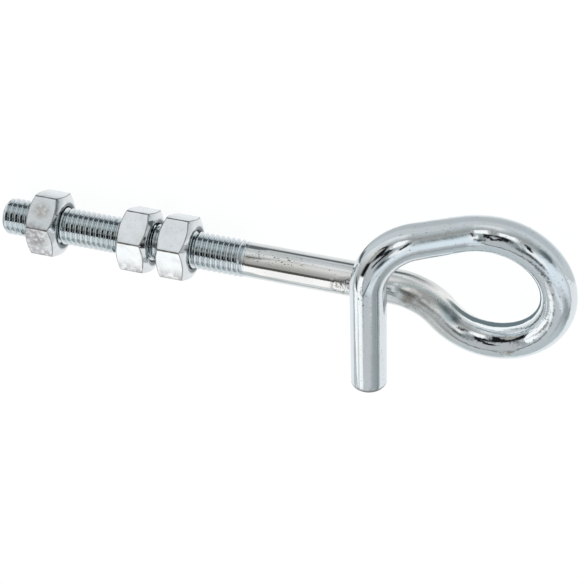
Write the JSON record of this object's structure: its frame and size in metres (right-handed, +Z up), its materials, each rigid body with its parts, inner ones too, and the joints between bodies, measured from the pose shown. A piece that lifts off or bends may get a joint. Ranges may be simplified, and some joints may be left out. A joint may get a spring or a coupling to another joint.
{
  "type": "swing hook",
  "caption": "Zinc-plated swing hook: a round rod bent into a loop whose tail crosses over the shank, with hex nuts on the threaded shank that clamp it through a beam.",
  "frame": {"origin": "on the floor, under the middle of the hook's footprint, with the hook lying on its nuts", "axes": "+X along the shank towards the loop, +Y towards the side on which the loop closes, +Z up, towards the crossing tail"},
  "size_m": [0.1846, 0.057, 0.0323],
  "materials": {
    "zinc_rod": "bright zinc plate over drawn rod, with fine lengthwise draw lines and small tool marks at the bends",
    "zinc_nut": "satin zinc plate with faint smudges"
  },
  "bodies": {
    "hook": {"hook_bolt": "zinc_rod"},
    "end_nut": {"end_nut": "zinc_nut"},
    "middle_nut": {"middle_nut": "zinc_nut"},
    "inner_nut": {"inner_nut": "zinc_nut"}
  },
  "joints": [
    {"name": "end_nut_travel", "type": "slide", "parent": "hook", "child": "end_nut", "axis": [1, 0, 0], "range_m": [-0.0095, 0.0102]},
    {"name": "middle_nut_travel", "type": "slide", "parent": "hook", "child": "middle_nut", "axis": [1, 0, 0], "range_m": [-0.0102, 0.0013]},
    {"name": "inner_nut_travel", "type": "slide", "parent": "hook", "child": "inner_nut", "axis": [1, 0, 0], "range_m": [-0.0013, 0.016]}
  ]
}
